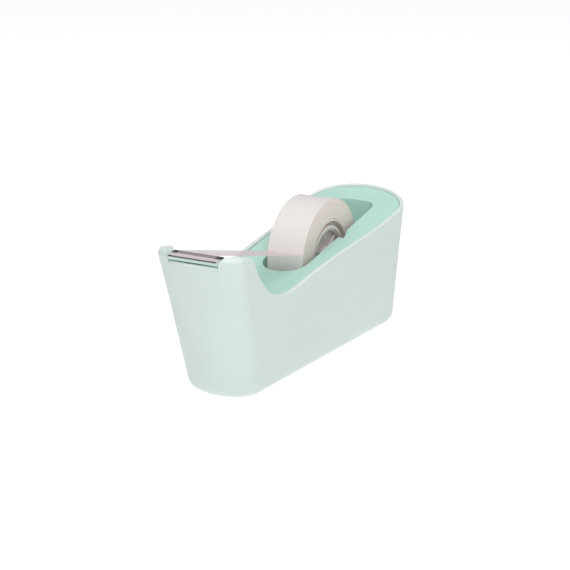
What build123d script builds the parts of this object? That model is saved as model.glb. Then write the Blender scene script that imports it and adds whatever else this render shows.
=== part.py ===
from build123d import *

import math
import os

# Desktop tape dispenser for 19 mm tape on a 25.4 mm core. Millimetres, +Z up.
# The nose with the blade points along -X, and Y = 0 is the plane of symmetry.
# The origin is on the table, below the middle of the bounding box.

# Outer shell: plan outline at the floor and how it changes with height.
PAD_PROUD = 0.6
NOSE_X, NOSE_LEAN = -67.5, 0.239
REAR_X, REAR_LEAN = 81.8, 0.022
HALF_WIDTH, FLARE = 20.0, 0.065
PLAN_TAPER = 0.00158
NOSE_ROUND, NOSE_ROUND_SLOPE = 14.0, -0.082
REAR_ROUND, REAR_ROUND_SLOPE = 18.5, -0.022
WALL, FLOOR, BOTTOM_RADIUS, LIP_RADIUS = 2.2, 2.6, 6.5, 0.9
BLOCK_TOP, FAR, TANGENT_STEPS = 80.0, 100.0, 3

# Side profile of the rim, from the tops of the ears to the rear end.
EAR_FRONT, EAR_SHOULDER = (-90.0, 71.6), (-71.5, 68.2)
RIM_POINTS = [(-67.2, 66.2), (-64.0, 61.1), (-59.0, 54.6), (-53.0, 48.7), (-44.0, 44.7),
              (-35.0, 44.2), (-21.0, 46.7), (18.0, 52.9), (64.0, 60.5), (84.0, 67.8)]
RIM_START_SLOPE, RIM_END_SLOPE, LIP_EDGE_LEAST = -0.19, 0.42, 15.0
EAR_INNER_Y, EAR_REAR_X, EAR_BOTTOM_Z = 12.5, -61.0, 52.0
EAR_ROUND_OUTSIDE, EAR_ROUND_INSIDE, EAR_SKIN = 3.0, 5.0, 0.02
EAR_TAPER_X, EAR_TAPER_ANGLE = -78.0, 31.0
NOSE_WALL_TOP, NOSE_EDGE_RADIUS, NOSE_GAP_REAR_X = 64.7, 1.4, -64.0

# Liner: deck, well for the roll, and the slanted axle slots.
DECK_POINTS = [(-67.2, 65.0), (-64.0, 59.9), (-59.0, 53.4), (-53.0, 47.6), (-44.0, 43.2),
               (-35.0, 42.0), (-21.0, 43.3), (18.0, 51.2), (64.0, 60.4), (84.0, 66.9)]
DECK_DROP, DECK_THICK, LINER_GAP = 0.9, 2.0, 0.15
DECK_FLAT_HALF, DECK_EDGE_HALF = 11.5, 23.0
LINER_NOSE_TOP = 64.0
WELL_FRONT, WELL_REAR, WELL_HALF = -12.1, 69.0, 11.5
WELL_FLOOR, WELL_WALL = 15.5, 1.8
WELL_FRONT_RADIUS, WELL_REAR_RADIUS = 11.0, 6.0
SLOT_HALF, SLOT_DEPTH, SLOT_ANGLE, SLOT_TRAVEL = 2.75, 2.8, 45.0, 40.0
SLOT_PAD_WALL, SLOT_PAD_LENGTH, SLOT_PAD_DROP, SLOT_PAD_SHIFT = 1.4, 30.0, 9.0, 5.0
POST_RADIUS, POSTS = 3.4, [(-46.0, 7.0), (-46.0, -7.0), (58.0, 7.5), (58.0, -7.5)]
SCREW_RADIUS, SCREW_LENGTH, SCREW_HOLE_TOP = 1.3, 12.0, 13.4
HEAD_RADIUS, HEAD_HEIGHT, HEAD_CLEARANCE = 2.6, 1.3, 0.3
DRIVE_SLOT_LENGTH, DRIVE_SLOT_WIDTH, DRIVE_SLOT_DEPTH = 3.4, 0.65, 0.65

# Roll and hub, turning on one axis.
AXIS_X, AXIS_Z = 23.7, 45.0
TAPE_HALF = 9.5
WINDING_OUTER, WINDING_INNER = 27.1, 17.4
CORE_BORE, CORE_INNER, CORE_OUTER_IN, CORE_OUTER = 12.7, 14.3, 16.5, 17.35
CORE_SLEEVE_HALF, CORE_WEB_HALF = 8.7, 6.4
HUB_OUTER, HUB_BORE, STUB_RADIUS, STUB_END = 12.6, 11.8, 2.67, 13.9
HUB_FACE, HUB_SPLIT, HUB_WEB, WEB_FACE, BOSS_RADIUS, BOSS_FACE = 8.3, 0.05, 1.2, 6.6, 4.4, 10.8
SPOKES, SPOKE_THICK, SPOKE_HEIGHT, SPOKE_START, TIP_CHAMFER = 6, 1.0, 1.6, 20.0, 0.4

# Blade and the strip of tape.
BLADE_FRONT_X, BLADE_FRONT_Z, BLADE_DEPTH, BLADE_TILT = -82.4, 66.8, 6.6, 8.0
BLADE_THICK, BLADE_HALF, BLADE_REAR_HALF, BLADE_STEP = 0.5, 12.0, 12.3, 2.6
TOOTH_PITCH, TOOTH_DEPTH = 1.0, 0.8
FLANGE_HALF, FLANGE_DROP, SLIT_GAP = 10.0, 3.2, 0.05
SEAT_THICK, SEAT_SETBACK, SEAT_FOOT_FRONT, SEAT_FOOT_REAR = 1.4, 0.6, -79.2, -74.8
SEAT_FOOT_HEIGHT = 2.2
STRIP_THICK, STRIP_GAP, STRIP_LIFT, PEEL_ANGLE = 0.2, 0.3, 0.1, 12.4

# Weights, each from a low to a high X with its half width and top, and the pad.
BALLAST_FRONT, BALLAST_FLOOR = (-41.5, -17.0, 13.5, 35.0), (-14.5, 52.0, 14.5, 12.8)
BALLAST_BOTTOM, BALLAST_CORNER = 3.4, 2.5
PAD_INSET = 7.5


def plan_section(height, inset):
    """Plan outline of the shell at a height: two elliptic ends joined by common tangents."""
    rise = height - PAD_PROUD
    nose_round = NOSE_ROUND + NOSE_ROUND_SLOPE * rise
    rear_round = REAR_ROUND + REAR_ROUND_SLOPE * rise
    nose_centre = NOSE_X - NOSE_LEAN * rise + nose_round
    rear_centre = REAR_X + REAR_LEAN * rise - rear_round
    width = HALF_WIDTH + FLARE * rise
    nose_half = width * (1 + PLAN_TAPER * nose_centre) - inset
    rear_half = width * (1 + PLAN_TAPER * rear_centre) - inset
    nose_round, rear_round = nose_round - inset, rear_round - inset
    slope = (rear_half - nose_half) / (rear_centre - nose_centre)
    for _ in range(TANGENT_STEPS):
        slope = (math.hypot(rear_round * slope, rear_half)
                 - math.hypot(nose_round * slope, nose_half)) / (rear_centre - nose_centre)

    def tangent_point(centre, round_x, half):
        reach = math.hypot(round_x * slope, half)
        return centre - round_x**2 * slope / reach, half**2 / reach

    front_x, front_y = tangent_point(nose_centre, nose_round, nose_half)
    back_x, back_y = tangent_point(rear_centre, rear_round, rear_half)
    front_turn = math.degrees(math.atan2(front_y / nose_half, (front_x - nose_centre) / nose_round))
    back_turn = math.degrees(math.atan2(back_y / rear_half, (back_x - rear_centre) / rear_round))
    nose = EllipticalCenterArc((nose_centre, 0, height), nose_round, nose_half,
                               front_turn, arc_size=360 - 2 * front_turn)
    rear = EllipticalCenterArc((rear_centre, 0, height), rear_round, rear_half,
                               -back_turn, arc_size=2 * back_turn)
    near = Line(nose @ 1, rear @ 0)
    far = Line(rear @ 1, nose @ 0)
    return make_face(Wire([nose, near, rear, far]))


def tapered_block(inset, bottom, top=BLOCK_TOP):
    """Solid inside the shell's outline, moved in by inset."""
    return loft([plan_section(bottom, inset), plan_section(top, inset)], ruled=True)


def profile(points, half_width, drop):
    """Face in an XZ plane of everything above a side profile, lowered by drop."""
    first = (EAR_FRONT[0], -half_width, EAR_FRONT[1] - drop)
    shoulder = (EAR_SHOULDER[0], -half_width, EAR_SHOULDER[1] - drop)
    run = Spline(shoulder, *[(x, -half_width, z - drop) for x, z in points],
                 tangents=[(1, 0, RIM_START_SLOPE), (1, 0, RIM_END_SLOPE)],
                 tangent_scalars=[1, 1])
    last = run @ 1
    top = Polyline(last, (last.X, last.Y, 2 * BLOCK_TOP), (first[0], last.Y, 2 * BLOCK_TOP), first)
    return make_face(Wire([Line(first, shoulder), run] + list(top.edges())))


def above_rim():
    """Everything above the rim, which is level across the shell."""
    return extrude(profile(RIM_POINTS, FAR, 0), amount=2 * FAR, dir=(0, 1, 0))


def above_deck(drop):
    """Everything above the deck: lower along the middle, and level with the lip at the walls."""
    edge = [(RIM_POINTS, half, drop + DECK_DROP) for half in (FAR, DECK_EDGE_HALF)]
    middle = [(DECK_POINTS, half, drop) for half in (DECK_FLAT_HALF, -DECK_FLAT_HALF)]
    far_edge = [(points, -half, fall) for points, half, fall in reversed(edge)]
    return loft([profile(*section) for section in edge + middle + far_edge], ruled=True)


def inside(gap):
    """Solid of the shell's inside, kept clear of its walls and floor by a gap."""
    block = tapered_block(WALL + gap, PAD_PROUD + FLOOR + gap)
    return fillet(block.faces().sort_by(Axis.Z)[0].edges(), BOTTOM_RADIUS - WALL)


def ear_region(inner_y, bottom):
    """Room of the ear on the +Y side, outwards from its inner face and up from its bottom."""
    room = Box(FAR, FAR, FAR, align=(Align.MAX, Align.MIN, Align.MIN))
    return room.moved(Location((EAR_REAR_X, inner_y, bottom)))


def along_ear_top(shape):
    """Shape drawn at the origin, tilted and moved onto the sloping top of the ears."""
    slope = math.atan2(EAR_FRONT[1] - EAR_SHOULDER[1], EAR_SHOULDER[0] - EAR_FRONT[0])
    turned = shape.rotate(Axis.Y, math.degrees(slope))
    return turned.moved(Location((EAR_SHOULDER[0], 0, EAR_SHOULDER[1])))


def ear_trim():
    """What comes off the ear on the +Y side: its rounded top edges and its tapered rear."""
    inner_y, radius = EAR_INNER_Y - EAR_SKIN, EAR_ROUND_INSIDE
    above = Box(FAR, FAR, FAR, align=(Align.CENTER, Align.CENTER, Align.MIN))
    ear = tapered_block(-EAR_SKIN, PAD_PROUD) & ear_region(inner_y, EAR_BOTTOM_Z)
    ear -= along_ear_top(above)
    outer = ear.faces().sort_by(Axis.Z)[-1].edges().sort_by(Axis.Y)[1:]
    outer.remove(outer.sort_by(Axis.X)[-1])
    ear = fillet(outer, EAR_ROUND_OUTSIDE)
    corner = Box(FAR, radius, radius, align=(Align.CENTER, Align.MIN, Align.MAX))
    bar = Cylinder(radius, FAR).rotate(Axis.Y, 90).moved(Location((0, radius, -radius)))
    ear -= along_ear_top((corner - bar).moved(Location((0, inner_y, 0))))
    behind = Box(FAR, FAR, FAR, align=(Align.MIN, Align.MAX, Align.MIN))
    behind = behind.rotate(Axis.Z, EAR_TAPER_ANGLE)
    ear -= behind.moved(Location((EAR_TAPER_X, inner_y, EAR_BOTTOM_Z)))
    return ear_region(inner_y, NOSE_WALL_TOP) - ear


def make_outer_shell():
    """Bucket with an integral floor, an open nose between two ears, and a rounded lip."""
    outer = tapered_block(0, PAD_PROUD)
    outer = fillet(outer.faces().sort_by(Axis.Z)[0].edges(), BOTTOM_RADIUS)
    ear = ear_region(EAR_INNER_Y, EAR_BOTTOM_Z)
    cavity = inside(0) - ear - ear.mirror(Plane.XZ)
    nose_gap = Box(FAR, 2 * EAR_INNER_Y, FAR, align=(Align.MAX, Align.CENTER, Align.MIN))
    shell = outer - cavity - nose_gap.moved(Location((NOSE_GAP_REAR_X, 0, NOSE_WALL_TOP)))
    ledge = shell.faces().filter_by(Axis.Z).filter_by_position(
        Axis.Z, NOSE_WALL_TOP - EAR_SKIN, NOSE_WALL_TOP + EAR_SKIN)[0]
    shell = fillet(ledge.edges().sort_by(Axis.X)[0], NOSE_EDGE_RADIUS)
    shell -= above_rim()
    rim = shell.faces().filter_by(GeomType.EXTRUSION)[0]
    long_edges = rim.edges().filter_by(lambda edge: edge.length > LIP_EDGE_LEAST)
    shell = fillet(long_edges, LIP_RADIUS)
    trim = ear_trim()
    shell = shell - trim - trim.mirror(Plane.XZ)
    for x, y in POSTS:
        bore = Cylinder(SCREW_RADIUS + HEAD_CLEARANCE, 2 * SCREW_HOLE_TOP)
        shell -= bore.moved(Location((x, y, 0)))
        head = Cylinder(HEAD_RADIUS + HEAD_CLEARANCE, HEAD_HEIGHT + HEAD_CLEARANCE,
                        align=(Align.CENTER, Align.CENTER, Align.MIN))
        shell -= head.moved(Location((x, y, PAD_PROUD)))
    return shell


def well_block(grow, floor):
    """Solid of the well's room, grown outwards, from its floor upwards."""
    length = WELL_REAR - WELL_FRONT + 2 * grow
    body = Box(length, 2 * (WELL_HALF + grow), BLOCK_TOP - floor,
               align=(Align.MIN, Align.CENTER, Align.MIN))
    body = body.moved(Location((WELL_FRONT - grow, 0, floor)))
    upright = body.edges().filter_by(Axis.Z)
    body = fillet(upright.group_by(Axis.X)[0], WELL_FRONT_RADIUS + grow)
    return fillet(body.edges().filter_by(Axis.Z).group_by(Axis.X)[-1], WELL_REAR_RADIUS + grow)


def slot_cut(half, reach):
    """Slanted axle slot, open upwards, cut to a distance from the plane of symmetry."""
    turn = math.radians(SLOT_ANGLE)
    middle = (AXIS_X + SLOT_TRAVEL / 2 * math.cos(turn), 0,
              AXIS_Z + SLOT_TRAVEL / 2 * math.sin(turn))
    slab = Box(SLOT_TRAVEL, 2 * reach, 2 * half).rotate(Axis.Y, -SLOT_ANGLE).moved(Location(middle))
    seat = Cylinder(half, 2 * reach).rotate(Axis.X, 90).moved(Location((AXIS_X, 0, AXIS_Z)))
    return slab + seat


def make_inner_liner():
    """Deck with the roll's well, the axle slots' pads and the screw posts hanging from it."""
    behind_ears = Box(2 * FAR, FAR, FAR, align=(Align.MIN, Align.CENTER, Align.MIN))
    between_ears = Box(2 * FAR, 2 * (EAR_INNER_Y - LINER_GAP), FAR,
                       align=(Align.CENTER, Align.CENTER, Align.MIN))
    room = inside(LINER_GAP) & (
        behind_ears.moved(Location((EAR_REAR_X + LINER_GAP, 0, 0))) + between_ears)
    room -= above_deck(0)
    room -= between_ears.moved(Location((EAR_REAR_X - FAR, 0, LINER_NOSE_TOP)))
    deck = room & above_deck(DECK_THICK)
    nose_deck = between_ears.moved(Location((EAR_REAR_X - FAR, 0, LINER_NOSE_TOP - DECK_THICK)))
    deck += room & nose_deck
    walls = well_block(WELL_WALL, WELL_FLOOR - WELL_WALL)
    pad_half = WELL_HALF + SLOT_DEPTH + SLOT_PAD_WALL
    pads = Box(SLOT_PAD_LENGTH, 2 * pad_half, FAR, align=(Align.CENTER, Align.CENTER, Align.MIN))
    walls += pads.moved(Location((AXIS_X + SLOT_PAD_SHIFT, 0, AXIS_Z - SLOT_PAD_DROP)))
    for x, y in POSTS:
        post = Cylinder(POST_RADIUS, BLOCK_TOP, align=(Align.CENTER, Align.CENTER, Align.MIN))
        walls += post.moved(Location((x, y, 0)))
    liner = deck + (walls & (room - above_deck(DECK_THICK / 2)))
    liner -= well_block(0, WELL_FLOOR)
    liner -= slot_cut(SLOT_HALF, WELL_HALF + SLOT_DEPTH)
    for x, y in POSTS:
        liner -= Cylinder(SCREW_RADIUS, 2 * SCREW_HOLE_TOP).moved(Location((x, y, 0)))
    return liner


def tilted(x, z, angle, shape):
    """Shape drawn at the origin, turned about Y so that +X climbs, and put at (x, z)."""
    return shape.rotate(Axis.Y, -angle).moved(Location((x, 0, z)))


def make_cutter_blade():
    """Strip with a row of teeth at the front and a flange bent down at the rear."""
    teeth = []
    count = int(2 * BLADE_HALF / TOOTH_PITCH)
    first = -count * TOOTH_PITCH / 2
    for index in range(count):
        start = first + index * TOOTH_PITCH
        teeth += [(TOOTH_DEPTH, start), (0, start + TOOTH_PITCH / 2)]
    edge = [(BLADE_STEP, -BLADE_HALF)] + teeth + [(TOOTH_DEPTH, -first), (BLADE_STEP, BLADE_HALF)]
    outline = edge + [(BLADE_STEP, BLADE_REAR_HALF), (BLADE_DEPTH, BLADE_REAR_HALF),
                      (BLADE_DEPTH, -BLADE_REAR_HALF), (BLADE_STEP, -BLADE_REAR_HALF)]
    plate = extrude(make_face(Polyline(*outline, close=True)), amount=BLADE_THICK)
    flange = Box(BLADE_THICK, 2 * FLANGE_HALF, FLANGE_DROP,
                 align=(Align.MAX, Align.CENTER, Align.MAX))
    plate += flange.moved(Location((BLADE_DEPTH, 0, BLADE_THICK)))
    return tilted(BLADE_FRONT_X, BLADE_FRONT_Z, BLADE_TILT, plate)


def make_blade_seat():
    """Bar under the blade: a beam with a foot that stands on the liner's deck."""
    half = EAR_INNER_Y - LINER_GAP
    beam = Box(BLADE_DEPTH, 2 * half, SEAT_THICK, align=(Align.MIN, Align.CENTER, Align.MAX))
    beam = beam.moved(Location((SEAT_SETBACK, 0, 0)))
    beam = tilted(BLADE_FRONT_X, BLADE_FRONT_Z, BLADE_TILT, beam)
    foot = Box(SEAT_FOOT_REAR - SEAT_FOOT_FRONT, 2 * half, SEAT_FOOT_HEIGHT,
               align=(Align.MIN, Align.CENTER, Align.MIN))
    seat = beam + foot.moved(Location((SEAT_FOOT_FRONT, 0, LINER_NOSE_TOP + SLIT_GAP)))
    slit = Box(BLADE_THICK + 2 * SLIT_GAP, 2 * (FLANGE_HALF + SLIT_GAP), 2 * FLANGE_DROP,
               align=(Align.MAX, Align.CENTER, Align.CENTER))
    slit = slit.moved(Location((BLADE_DEPTH + SLIT_GAP, 0, 0)))
    return seat - tilted(BLADE_FRONT_X, BLADE_FRONT_Z, BLADE_TILT, slit)


def ring(outer, inner, low, high):
    """Ring about the roll's axis between two Y values."""
    body = Cylinder(outer, high - low) - Cylinder(inner, high - low)
    return on_axis(body, low, high)


def disc(radius, low, high):
    """Disc about the roll's axis between two Y values."""
    return on_axis(Cylinder(radius, high - low), low, high)


def on_axis(body, low, high):
    """Body of revolution about Z, turned onto the roll's axis and moved between two Y values."""
    return body.rotate(Axis.X, 90).moved(Location((AXIS_X, (low + high) / 2, AXIS_Z)))


def make_hub_half():
    """Half of the hub on the -Y side: rim, recessed web, spokes, boss and axle stub."""
    half = ring(HUB_OUTER, HUB_BORE, -HUB_FACE, -HUB_SPLIT)
    half += disc(HUB_OUTER, -WEB_FACE, -WEB_FACE + HUB_WEB)
    half += disc(BOSS_RADIUS, -BOSS_FACE, -WEB_FACE + HUB_WEB / 2)
    half += disc(STUB_RADIUS, -STUB_END, -HUB_SPLIT)
    for index in range(SPOKES):
        spoke = Box(HUB_BORE - STUB_RADIUS + HUB_SPLIT, SPOKE_HEIGHT, SPOKE_THICK,
                    align=(Align.MIN, Align.MAX, Align.CENTER))
        spoke = spoke.moved(Location((STUB_RADIUS, -WEB_FACE + HUB_WEB / 2, 0)))
        turned = spoke.rotate(Axis.Y, 360 / SPOKES * index + SPOKE_START)
        half += turned.moved(Location((AXIS_X, 0, AXIS_Z)))
    tip = half.faces().sort_by(Axis.Y)[0].edges()
    return chamfer(tip, TIP_CHAMFER)


def make_tape_core():
    """Two sleeves joined by a thick web that stops short of their ends."""
    core = ring(CORE_INNER, CORE_BORE, -CORE_SLEEVE_HALF, CORE_SLEEVE_HALF)
    core += ring(CORE_OUTER, CORE_OUTER_IN, -TAPE_HALF, TAPE_HALF)
    core += ring(CORE_OUTER, CORE_BORE, -CORE_WEB_HALF, CORE_WEB_HALF)
    return core


def make_tape_strip():
    """Free ribbon: along the blade, then straight to where it peels off the roll."""
    turn = math.radians(BLADE_TILT)
    lift = BLADE_THICK + STRIP_LIFT
    front = (BLADE_FRONT_X - lift * math.sin(turn), BLADE_FRONT_Z + lift * math.cos(turn))
    bend = (front[0] + BLADE_DEPTH * math.cos(turn), front[1] + BLADE_DEPTH * math.sin(turn))
    reach = WINDING_OUTER + STRIP_GAP
    peel = math.radians(PEEL_ANGLE)
    end = (AXIS_X - reach * math.cos(peel), AXIS_Z + reach * math.sin(peel))
    lower = [front, bend, end]
    path = lower + [(x, z + STRIP_THICK) for x, z in reversed(lower)]
    face = make_face(Polyline(*[(x, -TAPE_HALF, z) for x, z in path], close=True))
    return extrude(face, amount=2 * TAPE_HALF, dir=(0, 1, 0))


def make_ballast(x_low, x_high, half, top):
    """Cast block standing just above the shell's floor."""
    block = Box(x_high - x_low, 2 * half, top - BALLAST_BOTTOM,
                align=(Align.MIN, Align.CENTER, Align.MIN))
    block = block.moved(Location((x_low, 0, BALLAST_BOTTOM)))
    return fillet(block.edges().filter_by(Axis.Z), BALLAST_CORNER)


def make_liner_screws():
    """Pan-head self-tapping screws from below, through the floor into the liner's posts."""
    screws = []
    for x, y in POSTS:
        head = Cylinder(HEAD_RADIUS, HEAD_HEIGHT, align=(Align.CENTER, Align.CENTER, Align.MIN))
        shank = Cylinder(SCREW_RADIUS, SCREW_LENGTH, align=(Align.CENTER, Align.CENTER, Align.MIN))
        slot = Box(DRIVE_SLOT_LENGTH, DRIVE_SLOT_WIDTH, 2 * DRIVE_SLOT_DEPTH)
        screw = (head + shank) - slot
        screws.append(screw.moved(Location((x, y, PAD_PROUD + HEAD_CLEARANCE))))
    return Compound(children=screws)


def make_non_slip_pad():
    """Thin pad under the floor, following its outline."""
    return extrude(plan_section(PAD_PROUD, PAD_INSET), amount=-PAD_PROUD)


def write(node, shape):
    shape.label = node
    export_step(shape, f"parts/{node}.step")


os.makedirs("parts", exist_ok=True)
write("outer_shell", make_outer_shell())
write("inner_liner", make_inner_liner())
write("blade_seat", make_blade_seat())
write("cutter_blade", make_cutter_blade())
write("ballast_front", make_ballast(*BALLAST_FRONT))
write("ballast_floor", make_ballast(*BALLAST_FLOOR))
write("liner_screws", make_liner_screws())
write("non_slip_pad", make_non_slip_pad())
write("tape_strip", make_tape_strip())
hub_left = make_hub_half()
write("hub_left", hub_left)
write("hub_right", hub_left.mirror(Plane.XZ))
write("tape_core", make_tape_core())
write("tape_winding", ring(WINDING_OUTER, WINDING_INNER, -TAPE_HALF, TAPE_HALF))
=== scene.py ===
import math
import random

import bmesh
import bpy
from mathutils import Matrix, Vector


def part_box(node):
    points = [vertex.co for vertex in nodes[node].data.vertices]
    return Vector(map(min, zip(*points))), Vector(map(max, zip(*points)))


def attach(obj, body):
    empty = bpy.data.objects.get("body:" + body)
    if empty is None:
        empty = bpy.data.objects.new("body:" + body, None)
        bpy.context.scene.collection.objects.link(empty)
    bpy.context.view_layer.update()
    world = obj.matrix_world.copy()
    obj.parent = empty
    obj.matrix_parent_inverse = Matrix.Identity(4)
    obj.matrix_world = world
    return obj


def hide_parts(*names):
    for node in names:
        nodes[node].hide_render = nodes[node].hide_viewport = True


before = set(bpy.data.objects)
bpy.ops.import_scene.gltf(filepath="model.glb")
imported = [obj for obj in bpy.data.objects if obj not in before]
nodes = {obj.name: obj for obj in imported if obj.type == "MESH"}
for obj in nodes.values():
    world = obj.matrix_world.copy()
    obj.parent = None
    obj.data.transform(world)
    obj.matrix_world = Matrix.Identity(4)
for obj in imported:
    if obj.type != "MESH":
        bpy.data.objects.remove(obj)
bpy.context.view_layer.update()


# The view: the dispenser stands on a pale table top, seen from its blade end and a little
# above, through one long lens.
VIEW_TURN, VIEW_RISE = math.radians(-60.31), math.radians(16.45)
VIEW_DISTANCE, VIEW_LENS, SENSOR_WIDTH = 0.7174, 97.07, 36.0
VIEW_TARGET = Vector((-0.003, 0.0, 0.0356))

toward_viewer = Vector((
    math.sin(VIEW_TURN) * math.cos(VIEW_RISE),
    -math.cos(VIEW_TURN) * math.cos(VIEW_RISE),
    math.sin(VIEW_RISE)))
camera = bpy.data.objects.new("camera", bpy.data.cameras.new("camera"))
bpy.context.scene.collection.objects.link(camera)
camera.data.lens, camera.data.sensor_width = VIEW_LENS, SENSOR_WIDTH
camera.location = VIEW_TARGET + toward_viewer * VIEW_DISTANCE
camera.rotation_mode = "QUATERNION"
camera.rotation_quaternion = (-toward_viewer).to_track_quat("-Z", "Y")
bpy.context.scene.camera = camera
bpy.context.scene.view_settings.view_transform = "Standard"


# The table top and the studio light: a wide white sheet that glows like a light table, so
# that the object throws almost no shadow, in an even room with one soft panel overhead and
# one in front of the nose.
def finish_named(name, colour, rough):
    """New material with its colour and roughness on the shader, and its node tree."""
    material = bpy.data.materials.new(name)
    material.use_nodes = True
    surface = material.node_tree.nodes["Principled BSDF"]
    surface.inputs["Base Color"].default_value = (*colour, 1)
    surface.inputs["Roughness"].default_value = rough
    return material, material.node_tree, surface


WHITE_LIGHT = (1, 1, 1, 1)
PAPER, PAPER_ROUGH, PAPER_GLOW, SHEET_HALF = (0.50, 0.50, 0.50), 0.9, 0.75, 4.0
paper, _, paper_surface = finish_named("white_paper", PAPER, PAPER_ROUGH)
paper_surface.inputs["Emission Color"].default_value = WHITE_LIGHT
paper_surface.inputs["Emission Strength"].default_value = PAPER_GLOW
sheet = bmesh.new()
bmesh.ops.create_grid(sheet, x_segments=1, y_segments=1, size=SHEET_HALF)
table_top = bpy.data.objects.new("table_top", bpy.data.meshes.new("table_top"))
sheet.to_mesh(table_top.data)
sheet.free()
table_top.data.materials.append(paper)
bpy.context.scene.collection.objects.link(table_top)

ROOM_LIGHT = 0.35
room = bpy.data.worlds.new("studio")
bpy.context.scene.world = room
room.use_nodes = True
room.node_tree.nodes["Background"].inputs["Color"].default_value = WHITE_LIGHT
room.node_tree.nodes["Background"].inputs["Strength"].default_value = ROOM_LIGHT


def panel(name, place, aim, size, power):
    """Soft square lamp at a place, turned towards a point."""
    lamp = bpy.data.objects.new(name, bpy.data.lights.new(name, "AREA"))
    lamp.data.shape, lamp.data.size, lamp.data.energy = "SQUARE", size, power
    lamp.location = place
    lamp.rotation_mode = "QUATERNION"
    lamp.rotation_quaternion = (Vector(aim) - Vector(place)).to_track_quat("-Z", "Y")
    bpy.context.scene.collection.objects.link(lamp)


panel("top_panel", place=(-0.1, 0.0, 1.0), aim=(0, 0, 0), size=1.3, power=4.6)
panel("front_panel", place=(-0.66, -0.5, 0.82), aim=(0, 0, 0.04), size=0.8, power=5.5)


# outer_shell: the pale mint bucket that the rest sits in. It is injection moulded with a
# fine spark texture, and its lip and the ears beside the blade are rounded smooth.
NOISE_LOW, NOISE_HIGH = 0.3, 0.7
FLOW_SCALE, FLOW_DETAIL, FLOW_STRETCH = 28.0, 3.0, (0.6, 1.0, 1.4)
FLOW_DARKER, FLOW_LIGHTER = 0.975, 1.02
SCUFF_SCALE, SCUFF_DETAIL, SCUFF_STRETCH = 260.0, 4.0, (0.35, 1.0, 1.0)
SCUFF_SMOOTHER, SCUFF_ROUGHER = 0.06, 0.07
WAVE_SCALE, WAVE_STRENGTH, WAVE_DEPTH = 45.0, 0.2, 0.0004
SPARK_SCALE, SPARK_STRENGTH, SPARK_DEPTH, PLASTIC_SHINE = 2200.0, 0.35, 0.00003, 0.45


def add(tree, kind, **settings):
    """New shader node with its settings."""
    node = tree.nodes.new(kind)
    for name, value in settings.items():
        setattr(node, name, value)
    return node


def object_place(tree):
    """Place on the piece, in its own coordinates."""
    return add(tree, "ShaderNodeTexCoord").outputs["Object"]


def noise(tree, where, scale, detail=2.0, stretch=(1, 1, 1)):
    """Noise on a vector, finer along an axis where its stretch is more than 1."""
    mapping = add(tree, "ShaderNodeMapping")
    mapping.inputs["Scale"].default_value = stretch
    tree.links.new(where, mapping.inputs["Vector"])
    texture = add(tree, "ShaderNodeTexNoise")
    texture.inputs["Scale"].default_value = scale
    texture.inputs["Detail"].default_value = detail
    tree.links.new(mapping.outputs["Vector"], texture.inputs["Vector"])
    return texture.outputs["Fac"]


def ramp(tree, value, stops):
    """Colour ramp through (place, colour) stops."""
    node = add(tree, "ShaderNodeValToRGB")
    while len(node.color_ramp.elements) < len(stops):
        node.color_ramp.elements.new(0.5)
    for element, (place, colour) in zip(node.color_ramp.elements, stops):
        element.position, element.color = place, (*colour, 1)
    tree.links.new(value, node.inputs["Fac"])
    return node.outputs["Color"]


def remap(tree, value, source, result):
    """Brings a range of values onto another one."""
    node = add(tree, "ShaderNodeMapRange")
    node.inputs["From Min"].default_value, node.inputs["From Max"].default_value = source
    node.inputs["To Min"].default_value, node.inputs["To Max"].default_value = result
    tree.links.new(value, node.inputs["Value"])
    return node.outputs["Result"]


def spread(tree, value, low, high):
    """Brings the middle of a noise onto a range of values."""
    return remap(tree, value, (NOISE_LOW, NOISE_HIGH), (low, high))


def bump(tree, height, strength, depth, under=None):
    """Bump of a height, on top of another bump."""
    node = add(tree, "ShaderNodeBump")
    node.inputs["Strength"].default_value = strength
    node.inputs["Distance"].default_value = depth
    tree.links.new(height, node.inputs["Height"])
    if under:
        tree.links.new(under, node.inputs["Normal"])
    return node.outputs["Normal"]


def two_tone(tree, share, body, other):
    """A body's linked colour that turns into another colour as a share goes from 0 to 1."""
    node = add(tree, "ShaderNodeMix", data_type="RGBA")
    colours = [socket for socket in node.inputs if socket.type == "RGBA"]
    tree.links.new(share, node.inputs["Factor"])
    tree.links.new(body, colours[0])
    colours[1].default_value = (*other, 1)
    return [socket for socket in node.outputs if socket.type == "RGBA"][0]


def shade(colour, factor):
    return tuple(min(1.0, channel * factor) for channel in colour)


def mottled(tree, value, colour, darker, lighter):
    """Colour that a noise makes a little darker and lighter."""
    stops = [(NOISE_LOW, shade(colour, darker)), (NOISE_HIGH, shade(colour, lighter))]
    return ramp(tree, value, stops)


def moulded(name, colour, rough, grain=SPARK_SCALE, grain_depth=SPARK_DEPTH):
    """Injection-moulded plastic: faint cloudy flow in the colour, spark grain, soft scuffs."""
    material, tree, surface = finish_named(name, colour, rough)
    here = object_place(tree)
    flow = noise(tree, here, FLOW_SCALE, FLOW_DETAIL, FLOW_STRETCH)
    tint = mottled(tree, flow, colour, FLOW_DARKER, FLOW_LIGHTER)
    tree.links.new(tint, surface.inputs["Base Color"])
    scuffs = noise(tree, here, SCUFF_SCALE, SCUFF_DETAIL, SCUFF_STRETCH)
    worn = spread(tree, scuffs, rough - SCUFF_SMOOTHER, rough + SCUFF_ROUGHER)
    tree.links.new(worn, surface.inputs["Roughness"])
    waves = bump(tree, noise(tree, here, WAVE_SCALE), WAVE_STRENGTH, WAVE_DEPTH)
    fine = bump(tree, noise(tree, here, grain), SPARK_STRENGTH, grain_depth, waves)
    tree.links.new(fine, surface.inputs["Normal"])
    surface.inputs["Specular IOR Level"].default_value = PLASTIC_SHINE
    return material


def dress(node_name, material):
    """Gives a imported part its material."""
    data = nodes[node_name].data
    data.materials.clear()
    data.materials.append(material)


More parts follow.
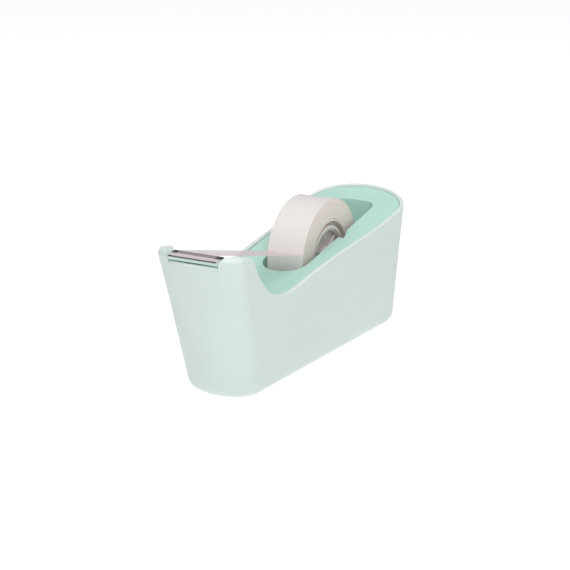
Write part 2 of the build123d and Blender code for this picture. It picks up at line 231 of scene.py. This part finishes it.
# The lighter colour of the shell's up-facing faces is a painted highlight, as if lit from above.
PALE_MINT, SHELL_ROUGH, TOP_HIGHLIGHT_LIGHTER = (0.61, 0.69, 0.65), 0.42, 1.22
LIP_FACING_UP = (0.15, 0.75)


def painted_top_highlight(material):
    """Painted highlight: faces that point up, such as the lip and the ear tops, are painted
    lighter.
    """
    tree = material.node_tree
    surface = tree.nodes["Principled BSDF"]
    body = surface.inputs["Base Color"].links[0].from_socket
    facing = add(tree, "ShaderNodeSeparateXYZ")
    tree.links.new(add(tree, "ShaderNodeNewGeometry").outputs["Normal"], facing.inputs["Vector"])
    upward = remap(tree, facing.outputs["Z"], LIP_FACING_UP, (0, 1))
    colour = two_tone(tree, upward, body, shade(PALE_MINT, TOP_HIGHLIGHT_LIGHTER))
    tree.links.new(colour, surface.inputs["Base Color"])
    return material


dress("outer_shell", painted_top_highlight(moulded("pale_mint_plastic", PALE_MINT, SHELL_ROUGH)))


# inner_liner: the mint moulding that drops into the shell. Its deck is dished around the
# roll, and its satin face comes from a polished and then blasted mould.
MINT, LINER_ROUGH, BLASTED_SCALE = (0.51, 0.775, 0.69), 0.48, 2600.0
dress("inner_liner", moulded("mint_plastic", MINT, LINER_ROUGH, BLASTED_SCALE))


# blade_seat: the bar that clips in between the ears and carries the blade. It is moulded
# in a mint between the shell's and the liner's.
SEAT_MINT, SEAT_ROUGH = (0.56, 0.735, 0.665), 0.45
dress("blade_seat", moulded("seat_plastic", SEAT_MINT, SEAT_ROUGH))


# cutter_blade: a strip of stainless steel, rolled, then stamped with teeth and folded down
# behind. The rolling marks run across the tape. A band behind the teeth is brighter and less
# metallic than the rest; the blade's front edge before it stays dark as painted shade.
# Before the band's start, the blade's front edge keeps the dark steel colour as painted shade.
STEEL, STEEL_ROUGH, BRIGHT_BAND_STEEL = (0.12, 0.105, 0.10), 0.28, (0.78, 0.75, 0.74)
BRIGHT_BAND_FROM, BRIGHT_BAND_TO, BRIGHT_BAND_BLEND = 0.14, 0.50, 0.04
ROLLED_METAL, BRIGHT_BAND_METAL = 0.9, 0.3
ROLLING_SCALE, ROLLING_DETAIL, ROLLING_STRETCH = 5200.0, 3.0, (1.0, 0.02, 1.0)
ROLLING_DARKER, ROLLING_LIGHTER = 0.8, 1.3
ROLLING_SMOOTH, ROLLING_ROUGH, ROLLING_STRENGTH, ROLLING_DEPTH = 0.22, 0.38, 0.3, 0.00002
blade_low, blade_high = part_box("cutter_blade")


def rolled_steel():
    """Rolled steel, brighter and less metallic in a band; the front edge stays dark as painted
    shade.
    """
    material, tree, surface = finish_named("rolled_steel", STEEL, STEEL_ROUGH)
    here = object_place(tree)
    split = add(tree, "ShaderNodeSeparateXYZ")
    tree.links.new(here, split.inputs["Vector"])
    depth = remap(tree, split.outputs["X"], (blade_low.x, blade_high.x), (0, 1))
    bright_band = ramp(tree, depth, [
        (BRIGHT_BAND_FROM - BRIGHT_BAND_BLEND, (0, 0, 0)), (BRIGHT_BAND_FROM, (1, 1, 1)),
        (BRIGHT_BAND_TO, (1, 1, 1)), (BRIGHT_BAND_TO + BRIGHT_BAND_BLEND, (0, 0, 0))])
    rolling = noise(tree, here, ROLLING_SCALE, ROLLING_DETAIL, ROLLING_STRETCH)
    rolled = mottled(tree, rolling, STEEL, ROLLING_DARKER, ROLLING_LIGHTER)
    colour = two_tone(tree, bright_band, rolled, BRIGHT_BAND_STEEL)
    tree.links.new(colour, surface.inputs["Base Color"])
    metal = remap(tree, bright_band, (0, 1), (ROLLED_METAL, BRIGHT_BAND_METAL))
    tree.links.new(metal, surface.inputs["Metallic"])
    polish = spread(tree, rolling, ROLLING_SMOOTH, ROLLING_ROUGH)
    tree.links.new(polish, surface.inputs["Roughness"])
    marks = bump(tree, rolling, ROLLING_STRENGTH, ROLLING_DEPTH)
    tree.links.new(marks, surface.inputs["Normal"])
    return material


dress("cutter_blade", rolled_steel())


# ballast_front and ballast_floor: two cast iron weights inside the shell, rough from the
# sand mould and painted thinly against rust.
IRON, IRON_ROUGH, IRON_METAL = (0.07, 0.072, 0.078), 0.7, 0.4
RUST, PAINT_LIGHTER = (0.16, 0.075, 0.04), 1.6
PATCH_SCALE, PATCH_DETAIL, PATCH_PLACES = 140.0, 6.0, (0.35, 0.62, 0.75)
PATCH_SMOOTH, PATCH_ROUGH = 0.6, 0.85
SAND_SCALE, SAND_DETAIL, SAND_STRENGTH, SAND_DEPTH = 900.0, 4.0, 0.8, 0.0002


def cast_iron():
    """Iron as cast: patches of thin paint and rust over the grain of the sand."""
    material, tree, surface = finish_named("cast_iron", IRON, IRON_ROUGH)
    here = object_place(tree)
    patches = noise(tree, here, PATCH_SCALE, PATCH_DETAIL)
    stops = zip(PATCH_PLACES, (IRON, shade(IRON, PAINT_LIGHTER), RUST))
    tree.links.new(ramp(tree, patches, list(stops)), surface.inputs["Base Color"])
    tree.links.new(spread(tree, patches, PATCH_SMOOTH, PATCH_ROUGH), surface.inputs["Roughness"])
    grain = noise(tree, here, SAND_SCALE, SAND_DETAIL)
    tree.links.new(bump(tree, grain, SAND_STRENGTH, SAND_DEPTH), surface.inputs["Normal"])
    surface.inputs["Metallic"].default_value = IRON_METAL
    return material


iron = cast_iron()
dress("ballast_front", iron)
dress("ballast_floor", iron)


# liner_screws: four pan-head self-tapping screws of zinc-plated steel, driven up through
# the shell's floor into the liner's posts.
ZINC, ZINC_ROUGH, ZINC_DARKER, ZINC_YELLOWED = (0.60, 0.61, 0.63), 0.32, 0.85, (0.66, 0.66, 0.60)
BLOOM_SCALE, BLOOM_DETAIL, BLOOM_STRENGTH, BLOOM_DEPTH = 700.0, 3.0, 0.2, 0.00003
BLOOM_SMOOTH, BLOOM_ROUGH = 0.26, 0.42


def zinc_plate():
    """Bright zinc plate, clouded and a little yellowed by its passivation."""
    material, tree, surface = finish_named("zinc_plate", ZINC, ZINC_ROUGH)
    surface.inputs["Metallic"].default_value = 1.0
    bloom = noise(tree, object_place(tree), BLOOM_SCALE, BLOOM_DETAIL)
    stops = [(NOISE_LOW, shade(ZINC, ZINC_DARKER)), (NOISE_HIGH, ZINC_YELLOWED)]
    tree.links.new(ramp(tree, bloom, stops), surface.inputs["Base Color"])
    tree.links.new(spread(tree, bloom, BLOOM_SMOOTH, BLOOM_ROUGH), surface.inputs["Roughness"])
    tree.links.new(bump(tree, bloom, BLOOM_STRENGTH, BLOOM_DEPTH), surface.inputs["Normal"])
    return material


dress("liner_screws", zinc_plate())


# non_slip_pad: a thin sheet of foamed rubber glued under the floor, with the fine open
# pores that grip the table.
# The pores' darker colour is painted shade in the pits.
RUBBER, RUBBER_ROUGH, PORE_SHADE_DARKER, PORE_LIGHTER = (0.035, 0.037, 0.037), 0.85, 0.5, 1.5
PORE_SCALE, PORE_PLACES, PORE_STRENGTH, PORE_DEPTH = 1300.0, (0.05, 0.5), 0.6, 0.0002
DUST_SCALE, DUST_DETAIL, DUST_SMOOTH, DUST_ROUGH = 90.0, 4.0, 0.78, 0.95


def foamed_rubber():
    """Black rubber with open pores painted darker as painted shade in them, and dust that dulls it
    in places.
    """
    material, tree, surface = finish_named("foamed_rubber", RUBBER, RUBBER_ROUGH)
    here = object_place(tree)
    pores = add(tree, "ShaderNodeTexVoronoi")
    pores.inputs["Scale"].default_value = PORE_SCALE
    tree.links.new(here, pores.inputs["Vector"])
    stops = zip(PORE_PLACES, (shade(RUBBER, PORE_SHADE_DARKER), shade(RUBBER, PORE_LIGHTER)))
    colour = ramp(tree, pores.outputs["Distance"], list(stops))
    tree.links.new(colour, surface.inputs["Base Color"])
    dust = noise(tree, here, DUST_SCALE, DUST_DETAIL)
    tree.links.new(spread(tree, dust, DUST_SMOOTH, DUST_ROUGH), surface.inputs["Roughness"])
    relief = bump(tree, pores.outputs["Distance"], PORE_STRENGTH, PORE_DEPTH)
    tree.links.new(relief, surface.inputs["Normal"])
    return material


dress("non_slip_pad", foamed_rubber())


# hub_left and hub_right: the two halves of the grey hub, each with its spokes and axle
# stub. They are moulded in clear styrene tinted smoke grey, so they are glossy.
SMOKE, SMOKE_ROUGH = (0.66, 0.595, 0.58), 0.24
GLOSSY_SCALE, GLOSSY_DEPTH, GLOSS, GLOSS_ROUGH = 1500.0, 0.00001, 0.4, 0.12
smoke_styrene = moulded("smoke_styrene", SMOKE, SMOKE_ROUGH, GLOSSY_SCALE, GLOSSY_DEPTH)
smoke_surface = smoke_styrene.node_tree.nodes["Principled BSDF"]
smoke_surface.inputs["Coat Weight"].default_value = GLOSS
smoke_surface.inputs["Coat Roughness"].default_value = GLOSS_ROUGH
dress("hub_left", smoke_styrene)
dress("hub_right", smoke_styrene)


# tape_core: the white moulded core that the tape is wound on, an inner and an outer sleeve
# on one web.
CORE_WHITE, CORE_ROUGH, CORE_GRAIN = (0.78, 0.69, 0.66), 0.4, 1800.0
dress("tape_core", moulded("white_core_plastic", CORE_WHITE, CORE_ROUGH, CORE_GRAIN))


# tape_winding: several hundred turns of matt film, wound on the core. The edges of the
# turns show as fine rings on both sides, none quite level with the next.
ROLL_STEPS, RING_STEP, RING_JITTER, ROLL_CORNER = 192, 0.00022, 0.000045, 0.00015
FREE_LAYER, JITTER_SEED, SIDE_FACING, SMOOTH_UNDER = 0.0001, 19, 0.7, math.radians(35)

roll_low, roll_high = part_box("tape_winding")
axis = (roll_low + roll_high) / 2
roll_radius = (roll_high.z - roll_low.z) / 2 - FREE_LAYER
roll_half = (roll_high.y - roll_low.y) / 2
core_low, core_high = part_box("tape_core")
bore_radius = (core_high.z - core_low.z) / 2 + FREE_LAYER / 2


def new_piece(name, mesh, materials):
    """Object of a finished bmesh, at the origin, smooth but for its sharp edges."""
    mesh.normal_update()
    for edge in mesh.edges:
        edge.smooth = edge.calc_face_angle(math.pi) < SMOOTH_UNDER
    for face in mesh.faces:
        face.smooth = True
    piece = bpy.data.objects.new(name, bpy.data.meshes.new(name))
    mesh.to_mesh(piece.data)
    mesh.free()
    for material in materials:
        piece.data.materials.append(material)
    bpy.context.scene.collection.objects.link(piece)
    return piece


def roll_side(side, chance):
    """Points (radius, y) up one side of the winding, each ring a little off level."""
    rings = int((roll_radius - ROLL_CORNER - bore_radius) / RING_STEP)
    inner = bore_radius + 0.5 * RING_STEP
    level = side * (roll_half - RING_JITTER)
    return [(inner + ring * RING_STEP, level + chance.uniform(-1, 1) * RING_JITTER)
            for ring in range(rings)]


chance = random.Random(JITTER_SEED)
near_side, far_side = roll_side(-1, chance), roll_side(1, chance)
outline = near_side + [(roll_radius, -roll_half + ROLL_CORNER)]
outline += [(roll_radius, roll_half - ROLL_CORNER)] + far_side[::-1]
winding_mesh = bmesh.new()
corners = [winding_mesh.verts.new((axis.x + r, y, axis.z)) for r, y in outline]
for start, end in zip(corners, corners[1:] + corners[:1]):
    winding_mesh.edges.new((start, end))
bmesh.ops.spin(winding_mesh, geom=winding_mesh.verts[:] + winding_mesh.edges[:], cent=axis,
               axis=(0, 1, 0), angle=math.tau, steps=ROLL_STEPS, use_merge=True)
bmesh.ops.recalc_face_normals(winding_mesh, faces=winding_mesh.faces)

FILM_WHITE, EDGE_WHITE = (0.83, 0.79, 0.765), (0.77, 0.685, 0.64)
TURN_SCALE, TURN_DETAIL, BAND_SCALE, BAND_DETAIL = 5200.0, 3.0, 420.0, 2.0
EDGE_ROUGH, EDGE_PLACES, EDGE_DARKER, EDGE_LIGHTER = 0.5, (0.35, 0.65), 0.93, 1.05
TURN_SMOOTH, TURN_ROUGH, TURN_STRENGTH, TURN_DEPTH = 0.4, 0.6, 0.35, 0.00003
CHATTER_SCALE, CHATTER_DETAIL, CHATTER_STRENGTH, CHATTER_DEPTH = 300.0, 3.0, 0.1, 0.0002


def around_axis(tree, here):
    """Distance from the roll's axis, from the object's own coordinates."""
    centred = add(tree, "ShaderNodeMapping")
    centred.inputs["Location"].default_value = (-axis.x, 0, -axis.z)
    flat = add(tree, "ShaderNodeVectorMath", operation="MULTIPLY")
    flat.inputs[1].default_value = (1, 0, 1)
    reach = add(tree, "ShaderNodeVectorMath", operation="LENGTH")
    tree.links.new(here, centred.inputs["Vector"])
    tree.links.new(centred.outputs["Vector"], flat.inputs[0])
    tree.links.new(flat.outputs["Vector"], reach.inputs[0])
    return reach.outputs["Value"]


def rings_of(tree, distance, scale, detail):
    """Uneven rings: noise that changes only with the distance from the axis."""
    texture = add(tree, "ShaderNodeTexNoise", noise_dimensions="1D")
    texture.inputs["Scale"].default_value = scale
    texture.inputs["Detail"].default_value = detail
    tree.links.new(distance, texture.inputs["W"])
    return texture.outputs["Fac"]


def halfway(tree, first, second):
    """Mean of two values."""
    total = add(tree, "ShaderNodeMath", operation="ADD")
    tree.links.new(first, total.inputs[0])
    tree.links.new(second, total.inputs[1])
    mean = add(tree, "ShaderNodeMath", operation="MULTIPLY")
    mean.inputs[1].default_value = 0.5
    tree.links.new(total.outputs["Value"], mean.inputs[0])
    return mean.outputs["Value"]


def wound_edges():
    """Side of the roll: cut edges of the film, warmer and a little darker than its face."""
    material, tree, surface = finish_named("film_edges", EDGE_WHITE, EDGE_ROUGH)
    here = object_place(tree)
    distance = around_axis(tree, here)
    turns = rings_of(tree, distance, TURN_SCALE, TURN_DETAIL)
    bands = rings_of(tree, distance, BAND_SCALE, BAND_DETAIL)
    stops = zip(EDGE_PLACES, (shade(EDGE_WHITE, EDGE_DARKER), shade(EDGE_WHITE, EDGE_LIGHTER)))
    colour = ramp(tree, halfway(tree, turns, bands), list(stops))
    tree.links.new(colour, surface.inputs["Base Color"])
    tree.links.new(spread(tree, turns, TURN_SMOOTH, TURN_ROUGH), surface.inputs["Roughness"])
    wobble = noise(tree, here, CHATTER_SCALE, CHATTER_DETAIL)
    chatter = bump(tree, wobble, CHATTER_STRENGTH, CHATTER_DEPTH)
    tree.links.new(bump(tree, turns, TURN_STRENGTH, TURN_DEPTH, chatter), surface.inputs["Normal"])
    return material


FILM_ROUGH, LINE_SCALE, LINE_STRETCH = 0.5, 900.0, (0.01, 1.0, 0.01)
LINE_DARKER, LINE_LIGHTER = 0.99, 1.01
HAZE_SCALE, HAZE_SMOOTH, HAZE_ROUGH, HAZE_STRENGTH, HAZE_DEPTH = 3000.0, 0.4, 0.58, 0.12, 0.00002


def matt_film(name, colour, opacity=1.0):
    """Matt film: a fine etched haze, with faint lines along the tape from its coating."""
    material, tree, surface = finish_named(name, colour, FILM_ROUGH)
    here = object_place(tree)
    lines = noise(tree, here, LINE_SCALE, stretch=LINE_STRETCH)
    tint = mottled(tree, lines, colour, LINE_DARKER, LINE_LIGHTER)
    tree.links.new(tint, surface.inputs["Base Color"])
    haze = noise(tree, here, HAZE_SCALE)
    tree.links.new(spread(tree, haze, HAZE_SMOOTH, HAZE_ROUGH), surface.inputs["Roughness"])
    tree.links.new(bump(tree, haze, HAZE_STRENGTH, HAZE_DEPTH), surface.inputs["Normal"])
    surface.inputs["Alpha"].default_value = opacity
    return material


film_face = matt_film("film_face", FILM_WHITE)
for face in winding_mesh.faces:
    face.material_index = 0 if abs(face.normal.y) > SIDE_FACING else 1
winding = new_piece("tape_winding_turns", winding_mesh, [wound_edges(), film_face])
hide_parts("tape_winding")
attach(winding, "tape_roll")


# tape_strip: the free end of the tape. It lies on the blade, cut off in the blade's own
# zigzag, runs back to the roll, peels off it there and is the roll's outermost turn above.
# The film is clearer where it is stuck down than where it is free.
STRIP_TINT, FREE_OPACITY, STUCK_OPACITY = (0.73, 0.63, 0.64), 0.62, 0.22
STRIP_THICK, STRIP_OFF_BLADE, BLADE_TILT = 0.00006, 0.00015, math.radians(8.0)
STRIP_HALF, TOOTH_HALF, TOOTH_REACH = 0.0095, 0.0005, 0.0006
PEEL_TURN, WRAP_END_TURN, WRAP_GAP = math.radians(180 - 12.4), math.radians(2), 0.00002
BEND_REACH, PEEL_REACH = 0.0015, 0.0012
BLADE_STEPS, BEND_STEPS, RUN_STEPS, WRAP_STEPS = 6, 8, 24, 96


def on_roll(turn, radius):
    """Point (x, z) on a circle about the roll's axis."""
    return Vector((axis.x + radius * math.cos(turn), axis.z + radius * math.sin(turn)))


def bend(before, corner, after, reach):
    """Points of a smooth bend that cuts a corner by the same reach on both sides."""
    start = corner + (before - corner).normalized() * reach
    end = corner + (after - corner).normalized() * reach
    shares = [step / BEND_STEPS for step in range(BEND_STEPS + 1)]
    return [start * (1 - s) ** 2 + corner * 2 * s * (1 - s) + end * s * s for s in shares]


def run(start, end, steps):
    """Points between two ends, evenly spaced and without the ends themselves."""
    return [start.lerp(end, step / steps) for step in range(1, steps)]


strip_low, strip_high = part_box("tape_strip")
along_blade = Vector((math.cos(BLADE_TILT), math.sin(BLADE_TILT)))
blade_run = (blade_high.x - blade_low.x) / math.cos(BLADE_TILT)
tip = Vector((strip_low.x + TOOTH_REACH, strip_high.y))
tip.y = blade_high.z + STRIP_OFF_BLADE - (blade_high.x - tip.x) * math.tan(BLADE_TILT)
heel = tip + along_blade * (blade_run - TOOTH_REACH)
wrap_radius = roll_radius + STRIP_THICK + WRAP_GAP
last_turn = PEEL_TURN - PEEL_REACH / wrap_radius
peel, over = on_roll(PEEL_TURN, wrap_radius), on_roll(last_turn, wrap_radius)

free_path = [tip] + run(tip, heel - along_blade * BEND_REACH, BLADE_STEPS)
free_path += bend(tip, heel, peel, BEND_REACH)
free_path += run(free_path[-1], peel + (heel - peel).normalized() * PEEL_REACH, RUN_STEPS)
free_path += bend(heel, peel, over, PEEL_REACH)
wrap_turns = [last_turn + (WRAP_END_TURN - last_turn) * step / WRAP_STEPS
              for step in range(1, WRAP_STEPS + 1)]
path = free_path + [on_roll(turn, wrap_radius) for turn in wrap_turns]

strip_mesh = bmesh.new()
across = int(2 * STRIP_HALF / TOOTH_HALF)
front_row = [strip_mesh.verts.new((tip.x, -STRIP_HALF + step * TOOTH_HALF, tip.y))
             for step in range(across + 1)]
for start, end in zip(front_row, front_row[1:]):
    strip_mesh.edges.new((start, end))
front_edges = strip_mesh.edges[:]
for here_point, next_point in zip(path, path[1:]):
    grown = bmesh.ops.extrude_edge_only(strip_mesh, edges=front_edges)["geom"]
    moved = [item for item in grown if isinstance(item, bmesh.types.BMVert)]
    front_edges = [item for item in grown if isinstance(item, bmesh.types.BMEdge)]
    step = next_point - here_point
    bmesh.ops.translate(strip_mesh, verts=moved, vec=(step.x, 0, step.y))
for vertex in front_row[1::2]:
    vertex.co -= Vector((along_blade.x, 0, along_blade.y)) * TOOTH_REACH
bmesh.ops.recalc_face_normals(strip_mesh, faces=strip_mesh.faces)
bmesh.ops.solidify(strip_mesh, geom=strip_mesh.faces[:], thickness=STRIP_THICK)
bmesh.ops.recalc_face_normals(strip_mesh, faces=strip_mesh.faces)
for face in strip_mesh.faces:
    middle = face.calc_center_median()
    reach = math.hypot(middle.x - axis.x, middle.z - axis.z)
    face.material_index = 1 if reach < wrap_radius + STRIP_THICK else 0
    if middle.x < blade_high.x:
        face.material_index = 2
free_film = matt_film("free_film", STRIP_TINT, FREE_OPACITY)
stuck_film = matt_film("stuck_film", STRIP_TINT, STUCK_OPACITY)
strip = new_piece("tape_strip_film", strip_mesh, [free_film, film_face, stuck_film])
strip.visible_shadow = False
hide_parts("tape_strip")
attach(strip, "tape_end")
